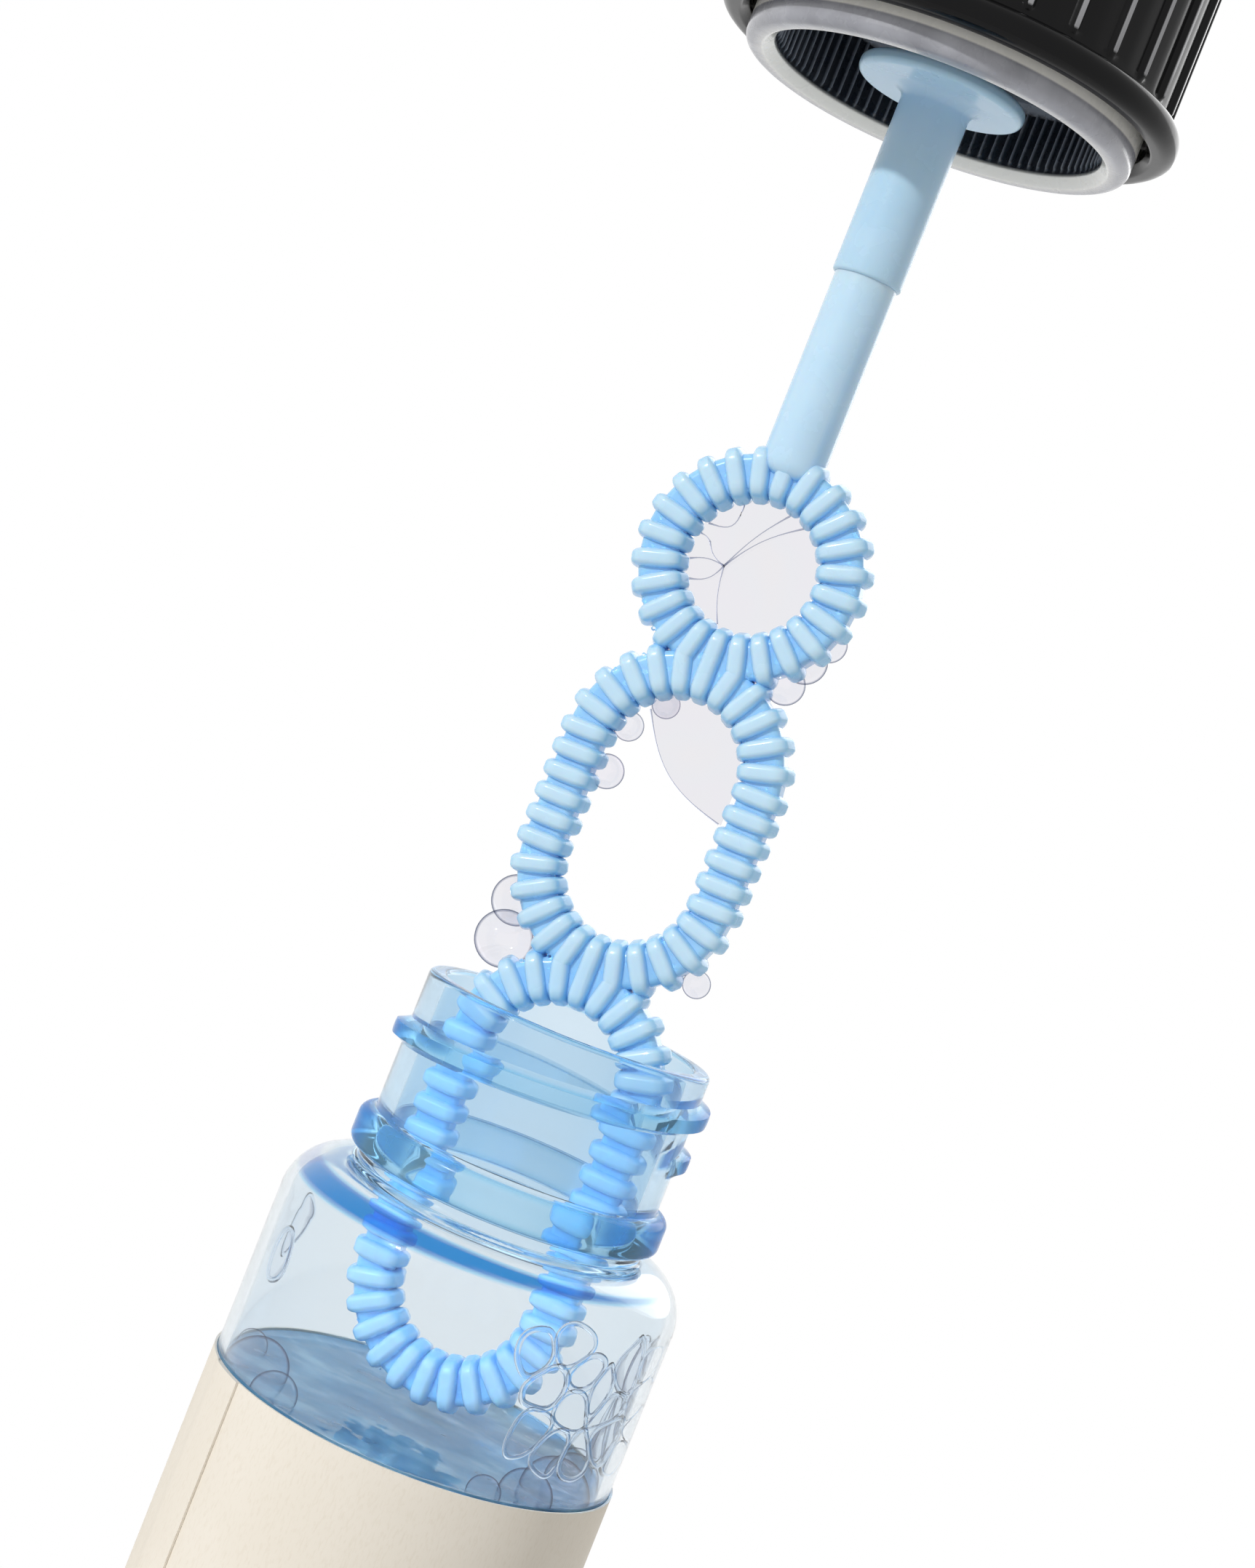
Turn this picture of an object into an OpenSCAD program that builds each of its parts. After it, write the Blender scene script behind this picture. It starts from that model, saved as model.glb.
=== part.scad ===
// Bubble wand: a screw cap with a three-ring blowing wand, half drawn out of its bottle of bubble solution.
// Millimetres. The base of the bottle stands on z = 0, the bottle's axis is the Z axis,
// and the flat side of the rings faces the front, which is -Y.

/* [Bottle] */
// Height of the bottle from its base to the rim of its neck
bottle_h = 136.6; // [125:0.1:160]
// Outer diameter of the bottle's body
body_d = 35; // [32:0.1:45]
// Wall of the bottle's body
body_wall = 0.9; // [0.6:0.1:1.5]
// Radius of the round shoulder
shoulder_r = 4.5; // [3:0.1:4.9]
// Radius of the edge between the body and the base
base_r = 2.6; // [1.5:0.1:4]
// Thickness of the bottle's floor
floor_t = 1.4; // [0.8:0.1:2.5]
// Height of the hollow under the base
push_up = 1.2; // [0.4:0.1:2]
// Diameter of the hollow under the base
push_up_d = 22; // [16:0.5:26]

/* [Neck] */
// Wall of the neck
neck_wall = 1.6; // [1:0.1:1.7]
// Height of the neck from the shoulder to the rim
neck_h = 16.6; // [15.9:0.1:20]
// Radius of the rim's outer edge
rim_r = 0.5; // [0.2:0.1:0.7]
// How far the bead under the thread stands out of the neck
bead_w = 1.2; // [0.8:0.05:1.5]
// Height of the bead under the thread
bead_h = 3.2; // [2:0.1:3.4]
// Distance from the rim down to the middle of that bead
bead_drop = 14.05; // [13.8:0.05:14.3]

/* [Thread] */
// How far the neck's thread stands out of the neck
thread_w = 1.175; // [0.9:0.025:1.3]
// Room between the neck's thread and the inner cap
thread_room = 0.7; // [0.6:0.05:1]
// Rise of the thread in one turn
thread_pitch = 4.23; // [4:0.01:4.5]
// Number of turns of the neck's thread
thread_turns = 1.25; // [1:0.05:1.3]
// Number of turns of the cap's thread
cap_thread_turns = 1; // [0.5:0.05:1.1]
// Width of a thread ridge at its foot
thread_foot = 2.3; // [1.8:0.1:2.5]
// Width of a thread ridge at its crest
thread_crest = 1; // [0.6:0.1:1.2]
// Distance from the rim down to the thread's lower end
thread_drop = 8; // [7.6:0.1:8.4]
// Direction of the thread's lower end, from +X towards +Y
thread_start = -12; // [-180:1:180]
// Room between the crest of the cap's thread and the neck
thread_gap = 0.5; // [0.3:0.05:0.7]

/* [Label] */
// Distance from the rim down to the label's top edge
label_drop = 35.4; // [30:0.1:50]
// Height of the label's bottom edge over the base
label_bottom = 9; // [5:0.5:20]
// Thickness of the label
label_t = 0.2; // [0.1:0.05:0.4]
// Room for the glue between the label and the bottle
glue_t = 0.05; // [0.03:0.01:0.1]
// Width of the strip where the label's ends overlap
lap_w = 5; // [3:0.5:10]
// Direction of the overlap's edge, from +X towards +Y
lap_angle = 216; // [0:1:360]

/* [Solution] */
// Distance from the wand's tip down to the solution's surface
tip_gap = 0.5; // [0.3:0.1:30]
// Room between the solution and the wall, which stands for the wetted skin
fill_gap = 0.05; // [0.03:0.01:0.1]

/* [Wand rings] */
// Room between the rings and the bore of the neck, on each side
ring_gap = 0.575; // [0.4:0.025:2]
// Width of a ring's band over its ribs
band = 5; // [4:0.1:6]
// Length of the upper ring's hole beyond a circle
straight_1 = 0; // [0]
// Length of the middle ring's hole beyond a circle
straight_2 = 9.9; // [7:0.1:12]
// Length of the lower ring's hole beyond a circle
straight_3 = 19.7; // [15:0.1:21]
// Distance between two neighbouring holes
bar_h = 6.8; // [6:0.1:7.5]
// Depth of the ribs from front to back
rib_depth = 4.4; // [3.6:0.1:5]
// Width of a rib
rib_w = 1.25; // [0.9:0.05:1.3]
// Number of ribs on each half round of a ring, which is one less than the ribs counted
rib_steps = 12; // [8:1:12]
// Spacing of the ribs along the straight sides, as near as it divides them
rib_pitch = 2.2; // [1.9:0.05:3]
// How far a rib's front face is shorter than its middle, at each end
rib_draft = 0.55; // [0.3:0.05:0.8]
// Depth of the core that carries the ribs
core_depth = 2.8; // [2:0.1:3.4]
// How far the ribs stand out of the core at the edges
rib_proud = 0.85; // [0.4:0.05:1.2]

/* [Wand stem] */
// Diameter of the lower stem
stem_d = 5.4; // [4.6:0.1:5.7]
// Length of the lower stem
stem_h = 15.1; // [12:0.1:20]
// Diameter of the pin that plugs into the holder
pin_d = 3.6; // [3:0.1:4]
// Length of that pin
pin_h = 11; // [8:0.5:14]
// Room around the pin in its socket
pin_gap = 0.06; // [0.03:0.01:0.12]

/* [Wand holder] */
// Diameter of the holder's tube, the upper stem
tube_d = 6; // [5.6:0.1:7]
// Length of the holder's tube below its disc
tube_h = 16.2; // [14.2:0.1:20]
// Diameter of the drip disc
disc_d = 14.5; // [12:0.1:16]
// Thickness of the drip disc
disc_t = 1.3; // [0.8:0.1:2]
// How far the disc's underside sits inside the cap's mouth
disc_rise = 1.2; // [0.5:0.1:3]
// Width of the round foot between the tube and the disc
flare_w = 1.1; // [0.6:0.1:1.6]
// Diameter of the post that clips into the cap
post_d = 8; // [7:0.1:9]
// Diameter of the clip head on top of the post
head_d = 9.6; // [9.4:0.1:10.5]
// Height of the clip head
head_h = 1.6; // [1:0.1:2]
// Running clearance of the post and its head in the cap
post_gap = 0.15; // [0.1:0.01:0.2]

/* [Cap] */
// Diameter of the outer cap over its flutes
cap_d = 37.2; // [34:0.1:40]
// Height of the outer cap from its rolled edge to its top
cap_h = 25.4; // [25:0.1:32]
// Wall of the outer cap
cap_wall = 0.8; // [0.6:0.1:1.2]
// Radius of the outer cap's top edge
cap_edge_r = 1.6; // [0.8:0.1:2]
// How far the rolled edge stands out of the flutes
roll_w = 1.4; // [1:0.1:2.5]
// Height of the rolled edge
roll_h = 2.6; // [2:0.1:3]
// Number of flutes around the cap
flutes = 28; // [18:1:36]
// Width of the ridge between two flutes
ridge_w = 0.5; // [0.3:0.05:0.9]
// Depth of a flute below its ridges
flute_depth = 0.35; // [0.2:0.05:0.5]
// Height of the smooth band over the flutes
crown_h = 3.2; // [2.2:0.1:5]
// How far the smooth band stands over the ridges
crown_proud = 0.12; // [0.05:0.01:0.3]

/* [Inner cap] */
// Room between the outer cap and the lip ring that shows below it
lip_gap = 0.55; // [0.2:0.05:0.8]
// Width of the lip ring
lip_w = 2.5; // [2:0.1:3]
// How far the lip ring shows below the rolled edge
lip_drop = 2.2; // [1.2:0.1:3]
// Height of the lip ring
lip_h = 4.4; // [3.4:0.1:5]
// Width of the bevel inside the lip
lip_bevel = 0.8; // [0.4:0.1:1.2]
// Wall of the inner cap above its lip
inner_wall = 1.4; // [1:0.1:1.6]
// Thickness of the inner cap's roof
roof_t = 1.6; // [1.2:0.1:2]
// Number of drive splines between the inner and the outer cap
splines = 24; // [12:1:36]
// Width of a drive spline
spline_w = 1; // [0.6:0.1:1.4]
// Clearance of the inner cap in the outer cap
cap_gap = 0.05; // [0.03:0.01:0.1]
// Thickness of the sealing wad
wad_t = 1.2; // [0.8:0.1:1.6]
// Clearance of the wad in the inner cap
wad_gap = 0.2; // [0.1:0.05:0.3]
// Room left at each seat when the cap is closed
seat_gap = 0.1; // [0.05:0.05:0.3]

/* [Pose] */
// How far the wand is drawn up from the closed bottle
pull_out = 97; // [60:0.1:110]
// Height of the lip over the shoulder when the cap is closed
closed_gap = 0.5; // [0.3:0.1:0.7]

/* [Hidden] */
$fn = 96;
eps = 0.01;
thread_facets = 40;

shell_r = cap_d / 2 - flute_depth - cap_wall;
spline_r = shell_r - cap_gap;
lip_r = shell_r - lip_gap;
mouth_r = lip_r - lip_w;
roll_out_r = cap_d / 2 + roll_w;

thread_r = mouth_r - thread_room;
neck_r = thread_r - thread_w;
bead_r = neck_r + bead_w;
bore_r = neck_r - neck_wall;
shoulder_z = bottle_h - neck_h;
body_r = body_d / 2;
label_top = bottle_h - label_drop;

closed_lip_z = shoulder_z + closed_gap;
lip_z = closed_lip_z + pull_out;
wad_z = bottle_h + pull_out + seat_gap;
roof_z = wad_z + wad_t;
hub_z = roof_z + roof_t;

disc_z = lip_z + disc_rise;
step_z = disc_z - tube_h;
ring_top_z = step_z - stem_h;

ring_r = bore_r - ring_gap;
hole_r = ring_r - band;
line_r = ring_r - band / 2;
straights = [straight_1, straight_2, straight_3];
hole_tops = [
    for (i = 0, z = ring_top_z - band; i < 3; z = z - 2 * hole_r - straights[i] - bar_h, i = i + 1) z
];
tip_z = hole_tops[2] - 2 * hole_r - straights[2] - band;
fill_z = tip_z - tip_gap;

cap_z = lip_z + lip_drop;
cap_top_z = cap_z + cap_h;

// A ridge swept up a helix: its foot is at radius foot_r, its crest at crest_r, and its ends taper away.
module helix_ridge(foot_r, crest_r, turns, low_z, start) {
    steps = ceil(turns * thread_facets);
    taper = 4;
    rows = [
        for (i = [0:steps])
            let (
                angle = start + 360 * turns * i / steps,
                z = low_z + thread_pitch * turns * i / steps,
                grow = min(1, min(i, steps - i) / taper),
                tip_r = foot_r + (crest_r - foot_r) * max(grow, 0.08),
                foot = thread_foot / 2 * max(grow, 0.5),
                crest = thread_crest / 2 * max(grow, 0.5)
            )
            for (p = [[foot_r, -foot], [tip_r, -crest], [tip_r, crest], [foot_r, foot]])
                [p[0] * cos(angle), p[0] * sin(angle), z + p[1]]
    ];
    outward = crest_r > foot_r;
    sides = [
        for (i = [0:steps - 1], k = [0:3])
            let (a = 4 * i + k, b = 4 * i + (k + 1) % 4)
            each [[a, a + 4, b], [b, a + 4, b + 4]]
    ];
    last = 4 * steps;
    ends = [[0, 1, 2], [0, 2, 3], [last, last + 2, last + 1], [last, last + 3, last + 2]];
    faces = concat(sides, ends);
    polyhedron(rows, outward ? [for (f = faces) [f[0], f[2], f[1]]] : faces);
}

// Half outline of a straight-sided vessel with round edges, from its axis outwards.
module vessel_outline(r, low, high, low_r, high_r) {
    translate([0, low]) square([r - low_r, high - low]);
    translate([0, low + low_r]) square([r - high_r, high - low - low_r]);
    translate([0, low + low_r]) square([r, high - low - low_r - high_r]);
    translate([r - low_r, low + low_r]) circle(low_r);
    translate([r - high_r, high - high_r]) circle(high_r);
}

// Everything inside the bottle's body below the shoulder, drawn in by a gap.
module body_inside(gap) {
    r = body_r - body_wall - gap;
    inner_base_r = max(base_r - body_wall, 0.5);
    inner_shoulder_r = shoulder_r - body_wall;
    vessel_outline(
        r, push_up + floor_t + gap, shoulder_z - body_wall - gap, inner_base_r, inner_shoulder_r
    );
}

module bottle() {
    color([0.62, 0.80, 0.94, 0.5]) difference() {
        union() {
            rotate_extrude() {
                vessel_outline(body_r, 0, shoulder_z, base_r, shoulder_r);
                square([neck_r - rim_r, bottle_h]);
                square([neck_r, bottle_h - rim_r]);
                translate([neck_r - rim_r, bottle_h - rim_r]) circle(rim_r);
                translate([0, bottle_h - bead_drop - bead_h / 2]) {
                    bead_edge = bead_h / 4;
                    translate([0, bead_edge]) square([bead_r, bead_h - 2 * bead_edge]);
                    square([bead_r - bead_edge, bead_h]);
                    translate([bead_r - bead_edge, bead_edge]) circle(bead_edge);
                    translate([bead_r - bead_edge, bead_h - bead_edge]) circle(bead_edge);
                }
            }
            helix_ridge(
                neck_r - 2 * eps, thread_r, thread_turns, bottle_h - thread_drop, thread_start
            );
        }
        rotate_extrude() body_inside(0);
        translate([0, 0, shoulder_z - body_wall - shoulder_r])
            cylinder(r = bore_r, h = neck_h + body_wall + shoulder_r + 1);
        translate([0, 0, -1]) cylinder(d = push_up_d, h = push_up + 1);
    }
}

module label() {
    inner = body_r + glue_t;
    h = label_top - label_bottom;
    lap = lap_w / inner * 180 / PI;
    color("blanchedalmond") translate([0, 0, label_bottom]) {
        difference() {
            cylinder(r = inner + label_t, h = h);
            translate([0, 0, -1]) cylinder(r = inner, h = h + 2);
        }
        rotate([0, 0, lap_angle]) rotate_extrude(angle = lap)
            translate([inner + label_t / 2, 0]) square([label_t * 1.5, h]);
    }
}

module solution() {
    color([0.45, 0.66, 0.80, 0.6]) rotate_extrude() intersection() {
        body_inside(fill_gap);
        square([body_r, fill_z]);
    }
}

// One ring's outline: a circle, or two half circles with straight sides between them.
module ring_outline(r, top_z, straight) {
    translate([0, top_z]) circle(r);
    translate([0, top_z - straight]) circle(r);
    translate([-r, top_z - straight]) square([2 * r, straight + eps]);
}

module rib() {
    long = band / 2;
    short = long - rib_draft;
    front = rib_depth / 2;
    linear_extrude(rib_w, center = true) polygon([
        [-long, 0], [-short, front], [short, front], [long, 0], [short, -front], [-short, -front]
    ]);
}

// The ribs of one ring: a fan round each end and a row down each side.
module ring_ribs(top_z, straight) {
    gaps = max(1, round(straight / rib_pitch));
    low_z = top_z - straight;
    for (i = [0:rib_steps]) {
        angle = 180 * i / rib_steps;
        translate([0, 0, top_z]) rotate([0, -angle, 0]) translate([line_r, 0, 0]) rib();
        if (straight > 0 || (i > 0 && i < rib_steps))
            translate([0, 0, low_z]) rotate([0, angle, 0]) translate([line_r, 0, 0]) rib();
    }
    if (gaps > 1)
        for (i = [1:gaps - 1], side = [-1, 1])
            translate([side * line_r, 0, low_z + straight * i / gaps]) rib();
}

module wand() {
    pin_top = step_z + pin_h;
    color("lightskyblue") {
        rotate([90, 0, 0]) linear_extrude(core_depth, center = true) difference() {
            for (i = [0:2])
                ring_outline(ring_r - rib_proud, hole_tops[i] - hole_r, straights[i]);
            for (i = [0:2])
                ring_outline(hole_r + rib_proud, hole_tops[i] - hole_r, straights[i]);
        }
        for (i = [0:2]) ring_ribs(hole_tops[i] - hole_r, straights[i]);
        stem_foot = ring_top_z - band / 2;
        translate([0, 0, stem_foot]) cylinder(d = stem_d, h = step_z - stem_foot);
        translate([0, 0, step_z - eps]) cylinder(d = pin_d, h = pin_top - step_z + eps);
    }
}

module wand_holder() {
    color("powderblue") difference() {
        union() {
            translate([0, 0, step_z]) cylinder(d = tube_d, h = disc_z - step_z + eps);
            translate([0, 0, disc_z - flare_w])
                cylinder(d1 = tube_d, d2 = tube_d + 2 * flare_w, h = flare_w + eps);
            translate([0, 0, disc_z]) cylinder(d = disc_d, h = disc_t);
            translate([0, 0, disc_z]) cylinder(d = post_d, h = hub_z + post_gap + head_h - disc_z);
            translate([0, 0, hub_z + post_gap]) cylinder(d = head_d, h = head_h);
        }
        translate([0, 0, step_z - 1]) cylinder(d = pin_d + 2 * pin_gap, h = pin_h + 1 + seat_gap);
    }
}

module inner_cap() {
    wall_r = mouth_r + inner_wall;
    round_r = (lip_w - lip_bevel) / 2;
    color([0.85, 0.87, 0.90, 0.7]) {
        difference() {
            union() {
                rotate_extrude() {
                    translate([0, lip_z]) square([lip_r - round_r, lip_h]);
                    translate([0, lip_z + round_r]) square([lip_r, lip_h - round_r]);
                    translate([lip_r - round_r, lip_z + round_r]) circle(round_r);
                }
                translate([0, 0, lip_z + 1]) cylinder(r = wall_r, h = hub_z - lip_z - 1);
                for (i = [0:splines - 1]) rotate([0, 0, 360 * i / splines])
                    translate([0, -spline_w / 2, lip_z + lip_h - eps])
                        cube([spline_r, spline_w, hub_z - lip_z - lip_h + eps]);
            }
            translate([0, 0, lip_z - 1]) cylinder(r = mouth_r, h = roof_z - lip_z + 1);
            translate([0, 0, lip_z - eps])
                cylinder(r1 = mouth_r + lip_bevel, r2 = mouth_r, h = lip_bevel);
            cylinder(d = post_d + 2 * post_gap, h = hub_z + 1);
        }
        helix_ridge(
            mouth_r + 2 * eps, neck_r + thread_gap, cap_thread_turns,
            bottle_h - thread_drop + pull_out - thread_pitch / 2, thread_start
        );
    }
}

module seal_wad() {
    color("whitesmoke") translate([0, 0, wad_z]) difference() {
        cylinder(r = mouth_r - wad_gap, h = wad_t);
        translate([0, 0, -1]) cylinder(d = post_d + 2 * wad_gap, h = wad_t + 2);
    }
}

// The outline of the fluted wall: flat panels with a narrow ridge between each two.
module fluted_outline() {
    ridge_r = cap_d / 2;
    valley_r = ridge_r - flute_depth;
    half = ridge_w / 2 / ridge_r * 180 / PI;
    polygon([
        for (i = [0:flutes - 1], corner = [[-2, 0], [-1, 1], [1, 1], [2, 0]])
            let (
                angle = 360 * i / flutes + corner[0] * half,
                r = corner[1] == 1 ? ridge_r : valley_r
            )
            [r * cos(angle), r * sin(angle)]
    ]);
}

module outer_cap() {
    r = cap_d / 2 + crown_proud;
    roll_r = roll_h / 2;
    crown_z = cap_top_z - crown_h;
    flute_z = cap_z + roll_h / 4;
    color("black") difference() {
        union() {
            translate([0, 0, flute_z]) linear_extrude(crown_z + crown_h / 4 - flute_z)
                fluted_outline();
            rotate_extrude() {
                translate([0, crown_z]) square([r, crown_h - cap_edge_r]);
                translate([0, crown_z]) square([r - cap_edge_r, crown_h]);
                translate([r - cap_edge_r, cap_top_z - cap_edge_r]) circle(cap_edge_r);
                translate([0, cap_z]) square([roll_out_r - roll_r, roll_h]);
                translate([roll_out_r - roll_r, cap_z + roll_r]) circle(roll_r);
            }
        }
        translate([0, 0, cap_z - 1]) cylinder(r = shell_r, h = cap_h - cap_wall + 1);
    }
}

bottle();
label();
solution();
wand();
wand_holder();
inner_cap();
seal_wad();
outer_cap();
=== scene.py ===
"""Looks of the bubble wand: its fluted cap, ribbed rings, clear bottle, label, solution and soap films.

Shapes are worked out in millimetres and stored in metres. Z is the axis of the bottle and the wand, and the
flat side of the rings faces the front, which is -Y. The corners of an outline are (x, y, rounding).
"""

import random
from math import atan2, ceil, copysign, cos, dist, hypot, pi, radians, sin, sqrt, tan, tau

import bmesh
import bpy
from mathutils import Matrix, Vector
from mathutils.geometry import delaunay_2d_cdt


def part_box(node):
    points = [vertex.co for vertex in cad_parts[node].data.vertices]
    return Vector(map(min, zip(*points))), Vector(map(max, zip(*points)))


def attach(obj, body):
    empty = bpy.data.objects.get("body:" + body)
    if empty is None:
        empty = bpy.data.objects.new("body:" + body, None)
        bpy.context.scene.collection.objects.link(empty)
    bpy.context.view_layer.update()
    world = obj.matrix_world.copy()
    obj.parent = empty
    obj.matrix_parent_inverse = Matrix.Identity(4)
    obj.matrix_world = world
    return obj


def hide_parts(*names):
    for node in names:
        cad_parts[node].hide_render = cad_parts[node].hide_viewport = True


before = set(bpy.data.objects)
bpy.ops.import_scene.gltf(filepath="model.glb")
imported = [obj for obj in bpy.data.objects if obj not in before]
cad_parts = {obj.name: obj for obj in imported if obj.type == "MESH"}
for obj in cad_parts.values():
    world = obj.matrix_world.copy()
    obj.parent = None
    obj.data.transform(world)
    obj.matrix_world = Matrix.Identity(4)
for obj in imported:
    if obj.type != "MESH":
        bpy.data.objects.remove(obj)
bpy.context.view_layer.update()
scene = bpy.context.scene

MM = 0.001
TINY = 1e-6


def heights(node):
    low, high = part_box(node)
    return low.z / MM, high.z / MM


def half_width(node):
    low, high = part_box(node)
    return (high.x - low.x) / 2 / MM


# The widest angle and the longest chord of a step in an arc
ARC_STEP = radians(7.5)
ARC_CHORD = 0.25

# Steps round a full turn
BOTTLE_STEPS = 160
STEM_STEPS = 72
HOLDER_STEPS = 96
FILM_STEPS = 96
FLOOR_STEPS = 144

# Angles in degrees above which an edge is drawn sharp
SHARP = 40
WAND_SHARP = 35
CAP_SHARP = 32
SOFT = 80

# Sizes that the frame gives
BASE_Z, RIM_Z = heights("bottle")
PIN_TOP = heights("wand")[1]
STEP_Z, HOLDER_TOP = heights("wand_holder")
LIP_Z, HUB_Z = heights("inner_cap")
CAP_Z, CAP_TOP = heights("outer_cap")
FILL_LOW, FILL_Z = heights("solution")
LABEL_LOW, LABEL_TOP = heights("label")
BODY_R = half_width("bottle")
RING_R = half_width("wand")
ROLL_OUT_R = half_width("outer_cap")

# Bottle
BODY_WALL = 0.9
INSIDE_R = BODY_R - BODY_WALL
FLOOR_Z = FILL_LOW - 0.05
DISH_Z = BASE_Z + 1.2
DISH_R = 9.6
FOOT_R = 11.2
HEEL = 2.6
INNER_HEEL = 1.7
SHOULDER_Z = RIM_Z - 16.6
SHOULDER_R = 4.5
NECK_R = 12.525
BORE_R = NECK_R - 1.6
BEAD_R = NECK_R + 1.2
BEAD_H = 3.2
BEAD_LOW = RIM_Z - 14.05 - BEAD_H / 2
BEAD_HIGH = BEAD_LOW + BEAD_H

# Screw thread on the neck and in the cap, in steps round a turn; its ends fade over a few steps
THREAD_R = NECK_R + 1.175
CAP_THREAD_R = NECK_R + 0.5
THREAD_PITCH = 4.23
THREAD_TURNS = 1.25
THREAD_START = radians(-12)
THREAD_LOW_Z = RIM_Z - 8
THREAD_FOOT_W = 2.3
THREAD_CREST_W = 1
THREAD_SINK = 0.3
THREAD_STEPS = 96
THREAD_FADE_STEPS = 9

# Directions where the painted deep blue band in the shoulder is thinnest and where the ridges get most
# painted deep blue
POOL_THIN = radians(50)
RIDGE_DEEP = radians(14)

# Solution, which climbs the wall by its edge and laps into the wall
LEVEL_Z = FILL_Z - 0.8
CLIMB = 0.4
CLIMB_R = 14.4
WALL_LAP = 0.08

# Label
LABEL_GAP = 0.05
LABEL_T = 0.2
LABEL_START = radians(216)
LABEL_LAP = 5
LABEL_COLUMNS = 220
LABEL_LEVELS = 24
LABEL_WAVES = 4

# Wand: a ring has two half rounds and straight sides, whose lengths are STRAIGHTS
BAND = 5
HOLE_R = RING_R - BAND
LINE_R = RING_R - BAND / 2
STRAIGHTS = (0, 9.9, 19.7)
BAR_H = 6.8
STEM_H = 15.1
STEM_R = 2.7
PIN_R = 1.8
RING_TOP = STEP_Z - STEM_H
CORE_DEPTH = 2.8
CORE_HALF = BAND / 2 - 0.85
CORE_ROUND = 0.7
CORE_STEPS = 36

# Ribs: counted round half a ring, and flat in the middle of their thickness
RIB_STEPS = 12
RIB_PITCH = 2.2
RIB_DEPTH = 4.4
RIB_DRAFT = 0.55
RIB_FRONT_R = 1.25
RIB_SIDE_R = 0.9
RIB_ARC_STEPS = (5, 10, 10, 5, 10, 10)
RIB_FLAT = 0.25
RIB_FOOT = 0.86
RIB_ROUND_STEPS = 6
RIB_SINK = 1.1
RIB_BULGE = 0.97

# Holder
TUBE_R = 3
SOCKET_R = 1.86
SOCKET_DEPTH = 11.1
DISC_Z = LIP_Z + 1.2
DISC_R = 7.25
DISC_T = 1.3
POST_R = 4
POST_GAP = 0.15
CLIP_R = POST_R + 0.8

# Outer cap; the crown's top has a shallow dish
ROLL_H = 2.6
ROLL_ROUND = 1.25
RIDGE_R = ROLL_OUT_R - 1.4
RIDGE_W = 0.5
FLUTES = 28
FLUTE_PITCH = tau / FLUTES
FLUTE_DEPTH = 0.35
FLUTE_FADE = 0.7
PANEL_DIP = 0.1
VALLEY_R = RIDGE_R - FLUTE_DEPTH
SHELL_R = VALLEY_R - 0.8
CROWN_Z = CAP_TOP - 3.2
CROWN_R = RIDGE_R + 0.12
CROWN_DISH_R = 15.2
CROWN_FLOOR_R = 14.8
CROWN_FLOOR_Z = CAP_TOP - 0.3
CROWN_UNDER_Z = CAP_TOP - 1

# Inner cap, with fine ribs in its mouth and drive splines outside
MOUTH_R = 14.4
INNER_WALL_R = MOUTH_R + 1.4
ROOF_Z = HUB_Z - 1.6
SEAL_ROOM = 1.3
LIP_R = 16.9
LIP_H = 4.4
LIP_BEVEL = 0.8
BRIM_Z = CAP_Z - 0.35
FINE_RIBS = 90
FINE_RIB_STEPS = 6
FINE_RIB_H = 0.25
FINE_RIB_LOW = LIP_Z + 1.1
FINE_RIB_HIGH = LIP_Z + 7.5
FINE_RIB_FADE = 0.5
SPLINES = 24
SPLINE_R = SHELL_R - 0.05
SPLINE_SHARE = 0.11

# Soap films reach a little into the rings
FILM_R = HOLE_R + 0.3
FILM_BULGE = 0.7

# Foam on the wall: direction and half-width of a patch in degrees, gap between cells and share of them kept
FOAM_PATCHES = ((-10, 58, 2.9, 1), (200, 50, 3.2, 0.3))
FOAM_TOP = SHOULDER_Z - 3.4
FOAM_TRIES = 400
FOAM_MARGIN = 3
FOAM_FLAT = 0.4
FOAM_OFF = 0.05

# Bubbles floating by the wall: direction in degrees and radius
FLOATING = (
    (212, 2.6), (236, 1.9), (190, 1.5), (330, 2.2), (350, 2.8), (10, 2.4), (312, 1.4), (28, 1.7),
)

# Camera, placed in metres and fitted to the photograph's frame of 1725 by 2156
CAMERA_DISTANCE = 0.2236
CAMERA_HEIGHT = 0.1616
CAMERA_AZIMUTH = radians(14)
CAMERA_PITCH = radians(-1.27)
CAMERA_YAW = radians(0.76)
CAMERA_ROLL = radians(21.7)
CAMERA_LENS = 61.8
CAMERA_NEAR = 0.01
SENSOR_HEIGHT = 36

# Light on the object from the world above and below, and from two lamps
SKY = 0.52
BOUNCE = 0.56
KEY_STRENGTH = 1.75
KEY_ANGLE = radians(2.2)
KEY_AZIMUTH = radians(-30)
KEY_ELEVATION = radians(25.5)
BACK_STRENGTH = 0.8
BACK_ANGLE = radians(50)
BACK_AZIMUTH = radians(165)
BACK_ELEVATION = radians(30)

# Floor
FLOOR_RADIUS = 185
FLOOR_T = 2
FLOOR_WHITE = 0.85
FLOOR_GLOW = 0.4


def linear(colour):
    """Linear red, green, blue and alpha of a code as on screen, such as "#B8DCF3"; other values pass."""
    if not isinstance(colour, str):
        return colour
    parts = [int(colour[i:i + 2], 16) / 255 for i in (1, 3, 5)]
    light = [c / 12.92 if c <= 0.04045 else ((c + 0.055) / 1.055) ** 2.4 for c in parts]
    return (*light, 1)


def smoothstep(low, high, value):
    t = min(1, max(0, (value - low) / (high - low)))
    return t * t * (3 - 2 * t)


def fall(low, high, value):
    return 1 - smoothstep(low, high, value)


def plateau(low, high, fade, value):
    """One between two values, fading to nought at both."""
    return smoothstep(low, low + fade, value) * fall(high - fade, high, value)


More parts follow.
